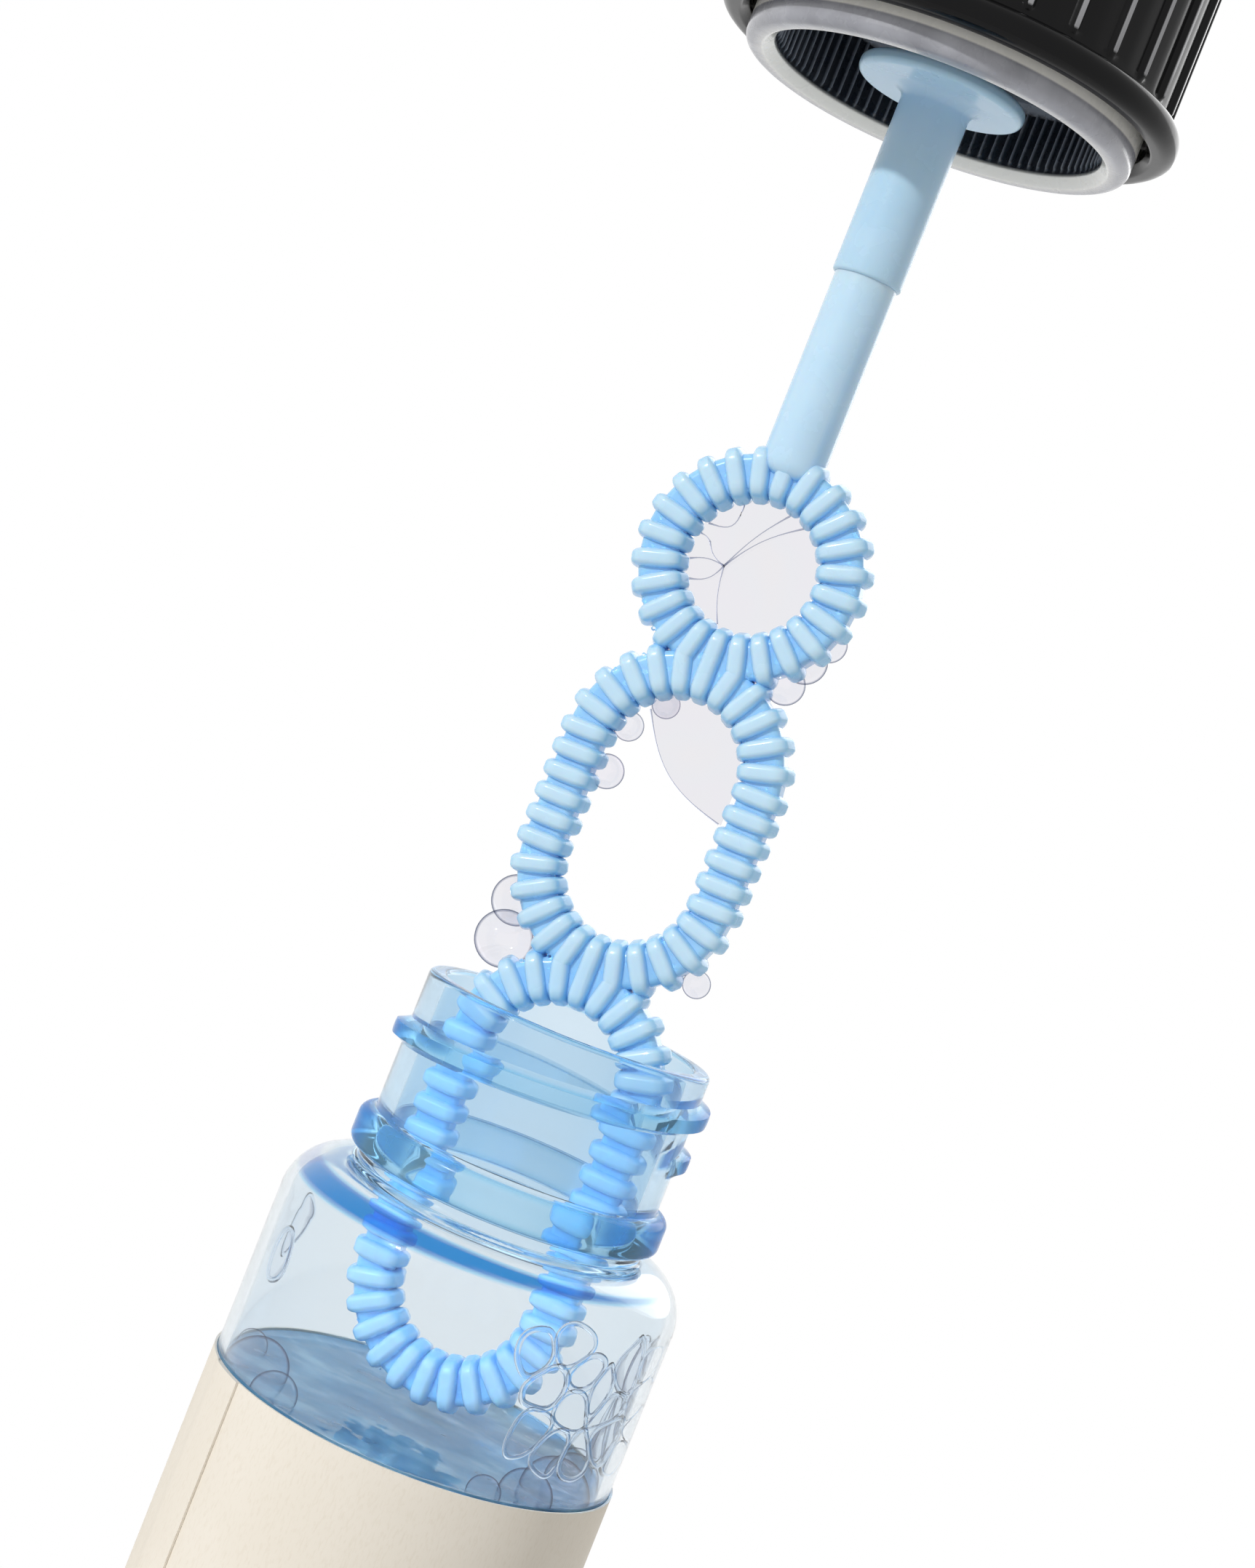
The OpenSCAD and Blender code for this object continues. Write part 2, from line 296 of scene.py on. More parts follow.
def middle(values):
    return (min(values) + max(values)) / 2


def radius_of(point):
    return hypot(point.x, point.y)


def polar(r, angle, z):
    return r * cos(angle), r * sin(angle), z


def even_angles(count):
    return [tau * i / count for i in range(count)]


# Mesh helpers

def shade(mesh, sharp):
    mesh.polygons.foreach_set("use_smooth", [True] * len(mesh.polygons))
    mesh.set_sharp_from_angle(angle=radians(sharp))


def add_object(name, mesh, sharp):
    shade(mesh, sharp)
    obj = bpy.data.objects.new(name, mesh)
    scene.collection.objects.link(obj)
    return obj


def make_object(name, verts, faces, sharp=SHARP):
    """A mesh object from points in millimetres, smooth apart from edges sharper than an angle."""
    mesh = bpy.data.meshes.new(name)
    mesh.from_pydata([[c * MM for c in v] for v in verts], [], faces)
    work = bmesh.new()
    work.from_mesh(mesh)
    bmesh.ops.remove_doubles(work, verts=work.verts, dist=TINY)
    bmesh.ops.recalc_face_normals(work, faces=work.faces)
    work.to_mesh(mesh)
    work.free()
    return add_object(name, mesh, sharp)


def rounded(corners, closed=True, arc_steps=None):
    """Points of an outline of (x, y, radius) corners, with an arc at each corner that has a radius.

    The steps of each arc may be given, so that outlines of other sizes have as many points.
    """
    points = []
    count = len(corners)
    for i, (x, y, radius) in enumerate(corners):
        at_end = not closed and i in (0, count - 1)
        if radius <= 0 or at_end:
            points.append((x, y))
            continue
        here = Vector((x, y))
        before = (Vector(corners[i - 1][:2]) - here).normalized()
        after = (Vector(corners[(i + 1) % count][:2]) - here).normalized()
        half = before.angle(after) / 2
        centre = here + (before + after).normalized() * radius / sin(half)
        first = here + before * radius / tan(half) - centre
        last = here + after * radius / tan(half) - centre
        start = atan2(first.y, first.x)
        sweep = (atan2(last.y, last.x) - start + pi) % tau - pi
        if arc_steps:
            steps = arc_steps[i]
        else:
            finest = max(abs(sweep) / ARC_STEP, abs(sweep) * radius / ARC_CHORD)
            steps = max(2, ceil(finest))
        for k in range(steps + 1):
            angle = start + sweep * k / steps
            points.append((centre.x + radius * cos(angle), centre.y + radius * sin(angle)))
    return points


def bridge(lower, upper):
    """Faces between two closed rows of points, either of which may be a single point."""
    count = max(len(lower), len(upper))
    if len(lower) == len(upper) == 1:
        return []
    if len(lower) == 1:
        return [(lower[0], upper[(i + 1) % count], upper[i]) for i in range(count)]
    if len(upper) == 1:
        return [(lower[i], lower[(i + 1) % count], upper[0]) for i in range(count)]
    return [
        (lower[i], lower[(i + 1) % count], upper[(i + 1) % count], upper[i]) for i in range(count)
    ]


def add_rows(verts, faces, rows, closed=False, capped=False):
    """Adds closed rows of points, joined in order, to a mesh: as a ring, or with flat ends if capped."""
    index = []
    for row in rows:
        index.append(list(range(len(verts), len(verts) + len(row))))
        verts += row
    for lower, upper in zip(index, index[1:] + (index[:1] if closed else [])):
        faces += bridge(lower, upper)
    if capped:
        faces += [tuple(reversed(index[0])), tuple(index[-1])]


def loft(name, rows, closed=False, sharp=SHARP):
    """A closed mesh through rows of points, with flat ends or joined into a ring."""
    mesh = [], []
    add_rows(*mesh, rows, closed, not closed)
    return make_object(name, *mesh, sharp)


def lathe(name, outline, angles, radius_at=None, sharp=SHARP):
    """A closed outline of (radius, height) points turned round Z; radius_at may reshape each point."""
    rows = []
    for r, z in outline:
        if r < TINY:
            rows.append([(0, 0, z)])
        elif radius_at:
            rows.append([polar(radius_at(angle, r, z), angle, z) for angle in angles])
        else:
            rows.append([polar(r, angle, z) for angle in angles])
    return loft(name, rows, True, sharp)


def fuse(base, others, sharp=SHARP):
    """Turns a closed mesh into its union with others, as one closed mesh."""
    for other in others:
        union = base.modifiers.new("fuse", "BOOLEAN")
        union.operation = "UNION"
        union.solver = "MANIFOLD"
        union.object = other
    shape = base.evaluated_get(bpy.context.evaluated_depsgraph_get())
    mesh = bpy.data.meshes.new_from_object(shape)
    base.modifiers.clear()
    base.data = mesh
    for other in others:
        bpy.data.objects.remove(other)
    shade(mesh, sharp)


def paint(obj, name, value_at):
    """A number on each point of a mesh, from its place in millimetres."""
    layer = obj.data.attributes.new(name, "FLOAT", "POINT")
    layer.data.foreach_set("value", [value_at(v.co / MM) for v in obj.data.vertices])


def helix_ridge(name, foot_r, crest_r, turns, low_z):
    """A rounded thread ridge whose foot is sunk in the wall and whose ends fade out."""
    sunk = copysign(THREAD_SINK, crest_r - foot_r)
    edge_r = foot_r - sunk * 0.2
    least = 0.02
    steps = ceil(turns * THREAD_STEPS)
    across = [i / 4 - 1 for i in range(9)]
    half = THREAD_FOOT_W / 2
    rows = []
    for i in range(steps + 1):
        angle = THREAD_START + tau * turns * i / steps
        z = low_z + THREAD_PITCH * turns * i / steps
        grow = smoothstep(0, THREAD_FADE_STEPS, min(i, steps - i))
        row = [(foot_r - sunk, z - half)]
        for s in across:
            lift = smoothstep(0, 1 - THREAD_CREST_W / THREAD_FOOT_W, 1 - abs(s))
            row.append((edge_r + (crest_r - foot_r) * max(lift * grow, least), z + s * half))
        row.append((foot_r - sunk, z + half))
        rows.append([polar(r, angle, h) for r, h in row])
    return loft(name, rows)


# Material helpers; a look is a material, or the world

def principled(name, colour, **values):
    """A principled material; underscores in a value's name stand for spaces."""
    look = bpy.data.materials.new(name)
    look.use_nodes = True
    shader = shader_of(look)
    shader.inputs["Base Color"].default_value = linear(colour)
    for key, value in values.items():
        shader.inputs[key.replace("_", " ")].default_value = value
    return look


def bare_look(name):
    """A material with no shader yet, and the socket that takes one."""
    look = bpy.data.materials.new(name)
    look.use_nodes = True
    look.node_tree.nodes.clear()
    return look, add_node(look, "OutputMaterial").inputs["Surface"]


def shader_of(look):
    return look.node_tree.nodes["Principled BSDF"]


def add_node(look, kind, **values):
    """A shader node of a kind, with values for its sockets or settings."""
    node = look.node_tree.nodes.new("ShaderNode" + kind)
    for key, value in values.items():
        if key in node.inputs:
            node.inputs[key].default_value = value
        else:
            setattr(node, key, value)
    return node


def link(look, source, target):
    look.node_tree.links.new(source, target)


def feed(look, value, socket):
    """Gives a socket a link from another socket, or a plain value."""
    if isinstance(value, bpy.types.NodeSocket):
        link(look, value, socket)
    else:
        socket.default_value = value


def to_shader(look, source, name="Base Color"):
    link(look, source, shader_of(look).inputs[name])


def place(look):
    return add_node(look, "TexCoord").outputs["Object"]


def stretched(look, scale):
    node = add_node(look, "Mapping", Scale=scale)
    link(look, place(look), node.inputs["Vector"])
    return node.outputs["Vector"]


def noise(look, scale, detail=4, vector=None):
    texture = add_node(look, "TexNoise", Scale=scale, Detail=detail)
    link(look, vector or place(look), texture.inputs["Vector"])
    return texture.outputs["Fac"]


def ramp(look, value, stops):
    node = add_node(look, "ValToRGB")
    elements = node.color_ramp.elements
    while len(elements) < len(stops):
        elements.new(0.5)
    for element, (position, colour) in zip(elements, stops):
        element.position = position
        element.color = linear(colour)
    link(look, value, node.inputs["Fac"])
    return node.outputs["Color"]


def mix(look, factor, first, second, blend="MIX"):
    """A colour mix, whose inputs are each a socket, a colour or a plain value."""
    node = add_node(look, "Mix", data_type="RGBA", blend_type=blend)
    for socket, value in zip((node.inputs[0], node.inputs[6], node.inputs[7]), (factor, first, second)):
        feed(look, linear(value), socket)
    return node.outputs[2]


def math_node(look, operation, first, second):
    node = add_node(look, "Math", operation=operation)
    for socket, value in zip(node.inputs, (first, second)):
        feed(look, value, socket)
    return node.outputs[0]


def scaled(look, value, factor):
    return math_node(look, "MULTIPLY", value, factor)


def attribute(look, name):
    return add_node(look, "Attribute", attribute_name=name).outputs["Fac"]


def vary_roughness(look, low, high, scale):
    stops = [(0.3, (low, low, low, 1)), (0.7, (high, high, high, 1))]
    to_shader(look, ramp(look, noise(look, scale), stops), "Roughness")


def bump(look, height, distance, strength):
    node = add_node(look, "Bump", Strength=strength, Distance=distance)
    link(look, height, node.inputs["Height"])
    to_shader(look, node.outputs["Normal"], "Normal")


def join_shaders(look, kind, first, second, target):
    """Feeds a target with two shaders joined by a mix or add node, and returns that node."""
    both = add_node(look, kind)
    sockets = [socket for socket in both.inputs if socket.type == "SHADER"]
    link(look, first.outputs[0], sockets[0])
    link(look, second.outputs[0], sockets[1])
    link(look, both.outputs["Shader"], target)
    return both


def let_light_through(look, tint):
    """Lets lamp light pass a clear piece, tinted, instead of being blocked by it."""
    clear = add_node(look, "BsdfTransparent", Color=linear(tint))
    surface = look.node_tree.nodes["Material Output"].inputs["Surface"]
    both = join_shaders(look, "MixShader", shader_of(look), clear, surface)
    path = add_node(look, "LightPath")
    link(look, path.outputs["Is Shadow Ray"], both.inputs["Fac"])


def seen_directly(look):
    """One for what the camera sees, straight or by gloss and clear pieces, and nought for other light."""
    path = add_node(look, "LightPath").outputs
    seen = math_node(look, "MAXIMUM", path["Is Camera Ray"], path["Is Glossy Ray"])
    return math_node(look, "MAXIMUM", seen, path["Is Transmission Ray"])


def give(obj, look, body, slot, *nodes):
    """Sets a piece's material and the body it rides on, and hides the CAD nodes it stands for; slot is not
    used.
    """
    obj.data.materials.clear()
    obj.data.materials.append(look)
    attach(obj, body)
    if nodes:
        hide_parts(*nodes)


# Materials

def wand_plastic(name, groove_shade):
    """Light blue moulded plastic, wet; for the rings, the gaps between the ribs get a painted shade in a
    deeper blue.
    """
    look = principled(
        name, "#C2E2F6", IOR=1.49, Specular_IOR_Level=0.35, Coat_Weight=0.4 if groove_shade else 0.1,
        Coat_Roughness=0.05, Subsurface_Weight=0.3, Subsurface_Scale=0.0015,
        Subsurface_Radius=(0.4, 0.9, 1.4),
    )
    cloud = noise(look, scale=220, detail=3)
    light = ("#C0E0F5", "#C7E4F7") if groove_shade else ("#B6DAF4", "#BEDEF6")
    colour = ramp(look, cloud, [(0.3, light[0]), (0.7, light[1])])
    # Painted shade: a deeper blue in the gaps between the ribs.
    if groove_shade:
        deep = ramp(look, cloud, [(0.3, "#92CCF5"), (0.7, "#A6D8F8")])
        colour = mix(look, attribute(look, "groove_shade"), colour, deep)
    to_shader(look, colour)
    vary_roughness(look, low=0.22, high=0.3, scale=300)
    return look


def cap_black():
    """Glossy black plastic, with a painted highlight in grey along the crests of its ridges."""
    look = principled("cap_black", "#050506", IOR=1.5, Specular_IOR_Level=0.16)
    # The grey along the ridge crests is a painted highlight.
    crest_highlight = attribute(look, "ridge")
    painted_crest_highlight = ramp(look, crest_highlight, [(0.75, "#050506"), (1, "#A4A4A6")])
    to_shader(look, painted_crest_highlight)
    vary_roughness(look, low=0.1, high=0.18, scale=600)
    bump(look, noise(look, scale=2500, detail=3), distance=0.00001, strength=0.3)
    return look


def natural_plastic():
    """Milky plastic, with painted shade inside where the black cap is behind it and painted highlights on
    the fine ribs there, and a painted highlight on its mouth's thin bevelled edge and along its brim.
    """
    look = principled(
        "natural_plastic", "#A9AAB0", IOR=1.5, Coat_Weight=0.5, Coat_Roughness=0.08,
        Subsurface_Weight=0.4, Subsurface_Scale=0.0015, Subsurface_Radius=(1, 1, 1.1),
    )
    cloud = noise(look, scale=260)
    milky = ramp(look, cloud, [(0.3, "#8F9097"), (0.7, "#AEAFB6")])
    # Painted shade inside the mouth, lighter on the crests of the fine ribs as painted highlights.
    inside = ramp(look, attribute(look, "rib"), [(0, "#161B24"), (1, "#7C838E")])
    # Painted highlight on the mouth's bevelled edge and along the brim.
    with_bevel_highlight = mix(look, attribute(look, "bevel"), milky, "#FBF8F0")
    to_shader(look, mix(look, attribute(look, "inside"), with_bevel_highlight, inside))
    vary_roughness(look, low=0.2, high=0.35, scale=700)
    return look


def clear_plastic(name, ior, gloss, deep, haze):
    """Clear bottle plastic, bluer where light runs a long way through it.

    The bluest places have the deep colour, and scatter a share of the light, the haze.
    """
    look = principled(
        name, "#F6F7F7", IOR=ior, Transmission_Weight=1, Coat_Weight=gloss, Coat_Roughness=0.2,
    )
    edge = add_node(look, "LayerWeight", Blend=0.5).outputs["Facing"]
    slant = math_node(look, "ADD", scaled(look, edge, 0.5), 0.5)
    run = math_node(look, "MULTIPLY", attribute(look, "thick"), slant)
    # The pool attribute is painted shade in deep blue, for light bent and dimmed in the plastic.
    depth = math_node(look, "MAXIMUM", run, attribute(look, "pool"))
    tint = ramp(look, depth, [(0, "#F6F7F7"), (0.4, "#8ECDEF"), (1, deep)])
    to_shader(look, tint)
    clear = math_node(look, "SUBTRACT", 1, scaled(look, depth, haze))
    to_shader(look, clear, "Transmission Weight")
    vary_roughness(look, low=0, high=0.03, scale=120)
    bump(look, noise(look, scale=90, detail=2), distance=0.00012, strength=0.3)
    let_light_through(look, "#BEE0F7")
    return look


def liquid():
    """Soapy solution: clear enough to see into, clouded enough to have a colour of its own."""
    look = principled("liquid", "#9DC3DC", IOR=1.33, Transmission_Weight=0.42, Roughness=0.02)
    swirl = noise(look, scale=130, detail=5, vector=stretched(look, (1, 1.8, 1)))
    stops = [(0.36, "#5496BA"), (0.52, "#72AECC"), (0.64, "#A4D2E6")]
    to_shader(look, ramp(look, swirl, stops))
    bump(look, noise(look, scale=110, detail=3), distance=0.0009, strength=0.5)
    let_light_through(look, "#C6DDEC")
    return look


def paper():
    """Matt cream paper, with long upright fibres and a faint change of tone."""
    look = principled("paper", "#EBE4D7", Specular_IOR_Level=0.2)
    fibres = noise(look, scale=5200, detail=6, vector=stretched(look, (1, 1, 0.3)))
    cloud = noise(look, scale=45)
    tone = ramp(look, cloud, [(0.35, "#E8E0D2"), (0.65, "#EEE7DB")])
    fleck = ramp(look, fibres, [(0.3, "#E4DDD0"), (0.5, (1, 1, 1, 1))])
    to_shader(look, mix(look, 0.2, tone, fleck, "MULTIPLY"))
    vary_roughness(look, low=0.65, high=0.85, scale=500)
    bump(look, fibres, distance=0.00001, strength=0.15)
    return look


def foam():
    """Fine white foamed plastic, for the seal."""
    look = principled("foam", "#F2F2EF", Roughness=0.8)
    tone = ramp(look, noise(look, scale=900), [(0.3, "#E6E6E2"), (0.7, "#F6F6F4")])
    to_shader(look, tone)
    bump(look, noise(look, scale=1800), distance=0.00005, strength=0.6)
    return look


def soap_film(name, clear_tint):
    """A thin clear sheet with a drifting sheen, and darker where it is seen along its face."""
    look, surface = bare_look(name)
    edge = add_node(look, "LayerWeight", Blend=0.5).outputs["Facing"]
    clear = add_node(look, "BsdfTransparent")
    stops = [(0, clear_tint), (0.55, clear_tint), (0.85, "#9EA3B4")]
    link(look, ramp(look, edge, stops), clear.inputs["Color"])
    gloss = add_node(look, "BsdfGlossy", Roughness=0.02)
    sheen = ramp(
        look, noise(look, scale=160, detail=2),
        [(0.3, "#FFF2E6"), (0.45, "#E6F6FF"), (0.6, "#F6E9FF"), (0.75, "#EFFFF2")],
    )
    link(look, sheen, gloss.inputs["Color"])
    both = join_shaders(look, "MixShader", clear, gloss, surface)
    both.inputs["Fac"].default_value = 0.05
    return look


def wet(name, colour, ior=1.33):
    """Clear drops and threads of solution."""
    look = principled(name, colour, IOR=ior, Transmission_Weight=1)
    vary_roughness(look, low=0, high=0.02, scale=300)
    let_light_through(look, colour)
    return look


# Wand

def ring_centres():
    """The middle of each ring's upper and lower half round."""
    centres = []
    top = RING_TOP - BAND
    for straight in STRAIGHTS:
        centres.append((top - HOLE_R, top - HOLE_R - straight))
        top = top - 2 * HOLE_R - straight - BAR_H
    return centres


def rib_outline(inset):
    """Half-length and depth of a rib as a rounded six-sided outline, drawn in by an inset."""
    long = BAND / 2 - inset
    short = BAND / 2 - RIB_DRAFT - inset
    deep = RIB_DEPTH / 2 - inset
    return rounded([
        (-long, 0, RIB_SIDE_R), (-short, deep, RIB_FRONT_R), (short, deep, RIB_FRONT_R),
        (long, 0, RIB_SIDE_R), (short, -deep, RIB_FRONT_R), (-short, -deep, RIB_FRONT_R),
    ], arc_steps=RIB_ARC_STEPS)


def rib(centre_z, angle, along=0):
    """One pillow-shaped rib square to the ring's line: at an angle round a centre, or along a side."""
    turn = Matrix.Rotation(-angle, 3, "Y")
    shift = Vector((0, 0, centre_z + along))
    rows = []
    for side, steps in ((1, range(RIB_ROUND_STEPS, -1, -1)), (-1, range(RIB_ROUND_STEPS + 1))):
        for k in steps:
            share = k / RIB_ROUND_STEPS
            t = side * (RIB_FLAT + (RIB_FOOT - RIB_FLAT) * share)
            outline = rib_outline(RIB_SINK * (1 - sqrt(1 - RIB_BULGE * share ** 2)))
            rows.append([turn @ Vector((LINE_R + u, depth, t)) + shift for u, depth in outline])
    return loft("rib", rows)


def ring_ribs(upper, lower):
    ribs = []
    straight = upper - lower
    for i in range(RIB_STEPS + 1):
        angle = pi * i / RIB_STEPS
        ribs.append(rib(upper, angle))
        if straight > 0 or 0 < i < RIB_STEPS:
            ribs.append(rib(lower, -angle))
    gaps = max(1, round(straight / RIB_PITCH))
    for i in range(1, gaps):
        ribs.append(rib(lower, 0, straight * i / gaps))
        ribs.append(rib(lower, pi, straight * i / gaps))
    return ribs


def ring_core(upper, lower):
    """The smooth band that carries a ring's ribs."""
    half = CORE_DEPTH / 2
    section = rounded([
        (-CORE_HALF, -half, CORE_ROUND), (CORE_HALF, -half, CORE_ROUND),
        (CORE_HALF, half, CORE_ROUND), (-CORE_HALF, half, CORE_ROUND),
    ])
    rows = []
    for centre, start in ((upper, 0), (lower, pi)):
        for i in range(CORE_STEPS + (upper > lower)):
            angle = start + pi * i / CORE_STEPS
            out = Vector((cos(angle), 0, sin(angle)))
            rows.append([out * (LINE_R + u) + Vector((0, depth, centre)) for u, depth in section])
    return loft("core", rows, closed=True)


def make_wand():
    """The lower stem with its pin, and the chain of three ribbed rings, as one mesh."""
    foot = RING_TOP - BAND / 2
    wand = lathe("wand_rings", rounded([
        (0, foot, 0), (STEM_R, foot, 1.3), (STEM_R, STEP_Z, 0), (PIN_R, STEP_Z, 0), (PIN_R, PIN_TOP, 0.4),
        (0, PIN_TOP, 0),
    ], closed=False), even_angles(STEM_STEPS))
    pieces = []
    for upper, lower in ring_centres():
        pieces.append(ring_core(upper, lower))
        pieces += ring_ribs(upper, lower)
    fuse(wand, pieces, WAND_SHARP)

    # Where the painted shade goes: deepest at the floor of the gaps between the ribs, fading up their
    # sides, and none on the stem.
    def groove_shade(point):
        deep = fall(CORE_DEPTH / 2 + 0.1, RIB_DEPTH / 2 - 0.1, abs(point.y))
        return deep * fall(RING_TOP - 1.5, RING_TOP, point.z)

    paint(wand, "groove_shade", groove_shade)
    give(wand, wand_plastic("wand_plastic", True), "wand", "wand_blue", "wand")


def make_holder():
    """The upper stem with the pin's socket, the drip disc, and the post with its clip head."""
    socket_top = STEP_Z + SOCKET_DEPTH
    disc_top = DISC_Z + DISC_T
    clip_z = HUB_Z + POST_GAP
    holder = lathe("wand_holder_tube", rounded([
        (SOCKET_R, STEP_Z, 0.1), (TUBE_R, STEP_Z, 0.28), (TUBE_R, DISC_Z, 1.1), (DISC_R, DISC_Z, 0.55),
        (DISC_R, disc_top, 0.5), (POST_R, disc_top, 0.5), (POST_R, clip_z, 0.1), (CLIP_R, clip_z, 0.2),
        (CLIP_R, HOLDER_TOP, 0.6), (0, HOLDER_TOP, 0), (0, socket_top, 0), (SOCKET_R, socket_top, 0.1),
    ]), even_angles(HOLDER_STEPS))
    give(holder, wand_plastic("holder_plastic", False), "wand", "holder_blue", "wand_holder")


# Cap

def make_outer_cap():
    low = CAP_Z + ROLL_H + 0.35
    high = CROWN_Z - 0.15
    ridge = RIDGE_W / 2 / RIDGE_R

    # Directions round the cap are crowded at each ridge
    beside = [s * ridge for s in (-2.2, -1.6, -1.1, -0.7, 0, 0.7, 1.1, 1.6, 2.2)]
    between = [FLUTE_PITCH * share for share in (0.25, 0.4, 0.5, 0.6, 0.75)]
    angles = [i * FLUTE_PITCH + offset for i in range(FLUTES) for offset in beside + between]

    def radius_at(angle, r, z):
        """Raises the ridges from the wall, and hollows the panels between them a little."""
        if not (low <= z <= high and abs(r - VALLEY_R) < 0.05):
            return r
        away = abs((angle + FLUTE_PITCH / 2) % FLUTE_PITCH - FLUTE_PITCH / 2) / ridge
        dip = PANEL_DIP * sin(pi * min(1, away / 6)) if away > 2 else 0
        return r + plateau(low, high, FLUTE_FADE, z) * (FLUTE_DEPTH * fall(0.7, 1.9, away) - dip)

    levels = (0, 0.2, 0.45, FLUTE_FADE, 3)
    wall = [low + s for s in levels] + [(low + high) / 2] + [high - s for s in reversed(levels)]
    cap = lathe("fluted_cap", rounded(
        [
            (SHELL_R, CAP_Z + 0.7, 0.2), (SHELL_R + 0.6, CAP_Z, 0.4), (ROLL_OUT_R, CAP_Z, ROLL_ROUND),
            (ROLL_OUT_R, CAP_Z + ROLL_H, ROLL_ROUND), (VALLEY_R, CAP_Z + ROLL_H, 0.25),
        ]
        + [(VALLEY_R, z, 0) for z in wall]
        + [
            (VALLEY_R, CROWN_Z, 0), (CROWN_R, CROWN_Z, 0.15), (CROWN_R, CAP_TOP, 1.6),
            (CROWN_DISH_R, CAP_TOP, 0.4), (CROWN_FLOOR_R, CROWN_FLOOR_Z, 0.3), (0, CROWN_FLOOR_Z, 0),
            (0, CROWN_UNDER_Z, 0), (SHELL_R, CROWN_UNDER_Z, 0.8),
        ]
    ), angles, radius_at, CAP_SHARP)

    # Where the painted highlight goes: the crests of the ridges, over the fluted wall.
    def crest_highlight(point):
        return smoothstep(VALLEY_R + 0.1, RIDGE_R, radius_of(point)) * (low < point.z < high)

    paint(cap, "ridge", crest_highlight)
    give(cap, cap_black(), "cap", "cap_black", "outer_cap")


def make_inner_cap():
    lip_top = LIP_Z + LIP_H

    def fine_rib(angle):
        phase = (angle * FINE_RIBS / tau) % 1
        return smoothstep(0.62, 0.8, phase) * fall(0.82, 1, phase)

    def radius_at(angle, r, z):
        """Raises the fine ribs in the mouth and the drive splines outside."""
        if FINE_RIB_LOW - 0.01 <= z <= FINE_RIB_HIGH + 0.01 and r < MOUTH_R + 0.05:
            ends = plateau(FINE_RIB_LOW, FINE_RIB_HIGH, FINE_RIB_FADE, z)
            return r - FINE_RIB_H * fine_rib(angle) * ends
        if z > lip_top + 0.3 and r > MOUTH_R + 0.5:
            away = abs((angle * SPLINES / tau + 0.5) % 1 - 0.5)
            return SPLINE_R if away < SPLINE_SHARE else r
        return r

    levels = (0, FINE_RIB_FADE / 2, FINE_RIB_FADE)
    wall = [FINE_RIB_HIGH - s for s in levels] + [FINE_RIB_LOW + s for s in reversed(levels)]
    bore_r = POST_R + POST_GAP
    cap = lathe("screw_insert", rounded(
        [(bore_r, HUB_Z, 0.2), (bore_r, ROOF_Z, 0.2), (MOUTH_R, ROOF_Z, 0.6)]
        + [(MOUTH_R, z, 0) for z in wall]
        + [
            (MOUTH_R, LIP_Z + LIP_BEVEL, 0.2), (MOUTH_R + LIP_BEVEL, LIP_Z, 0.4), (LIP_R, LIP_Z, 0.85),
            (LIP_R, BRIM_Z - 0.07, 0), (LIP_R, BRIM_Z + 0.07, 0), (LIP_R, lip_top, 0.3),
            (INNER_WALL_R, lip_top, 0.1), (INNER_WALL_R, lip_top + 0.5, 0), (INNER_WALL_R, HUB_Z, 0),
        ]
    ), even_angles(FINE_RIBS * FINE_RIB_STEPS), radius_at, CAP_SHARP)
    thread_z = THREAD_LOW_Z - RIM_Z + ROOF_Z - SEAL_ROOM - THREAD_PITCH / 2
    fuse(cap, [helix_ridge("cap_thread", MOUTH_R, CAP_THREAD_R, 1, thread_z)], CAP_SHARP)

    # Where the painted shade inside the mouth goes.
    def inside(point):
        above = smoothstep(LIP_Z + 0.7, LIP_Z + 1.1, point.z)
        return above * fall(MOUTH_R + 0.1, MOUTH_R + 0.4, radius_of(point))

    # Where the fine ribs get painted highlights: on their crests, below their top.
    def rib_light(point):
        return smoothstep(0.05, 0.2, MOUTH_R - radius_of(point)) * (point.z < FINE_RIB_HIGH)

    # Where the painted highlight goes: the mouth's bevelled edge, and a thin line along the brim.
    def bevel(point):
        r = radius_of(point)
        mouth = fall(MOUTH_R + 0.75, MOUTH_R + 1.15, r) * fall(LIP_Z + 1, LIP_Z + 1.2, point.z)
        brim = smoothstep(LIP_R - 0.3, LIP_R - 0.1, r) * smoothstep(BRIM_Z - 0.05, BRIM_Z + 0.05, point.z)
        return max(mouth, brim)

    paint(cap, "inside", inside)
    paint(cap, "bevel", bevel)
    paint(cap, "rib", rib_light)
    give(cap, natural_plastic(), "cap", "inner_cap_natural", "inner_cap")


# Bottle

def shoulder_depth(r, z):
    """How far a point by the shoulder lies outside the shoulder's surface; below nought is inside."""
    centre_r, centre_z = BODY_R - SHOULDER_R, SHOULDER_Z - SHOULDER_R
    if r < centre_r:
        return z - SHOULDER_Z
    return hypot(r - centre_r, max(0, z - centre_z)) - SHOULDER_R


def on_ridge(point):
    """One on the crests of the neck's bead and thread, and nought on the wall."""
    proud = smoothstep(NECK_R + 0.1, NECK_R + 0.7, radius_of(point))
    return proud * smoothstep(BEAD_LOW - 0.4, BEAD_LOW, point.z)


def thickness(point):
    """How thick the plastic looks: thin in the body, thicker in the neck, most in the ridges and rim."""
    wall = 0.08 + 0.2 * smoothstep(SHOULDER_Z - 0.8, SHOULDER_Z + 0.4, point.z)
    ridge = 0.65 * on_ridge(point)
    rim = 0.65 * smoothstep(RIM_Z - 0.5, RIM_Z - 0.1, point.z)
    return max(wall, ridge, rim)


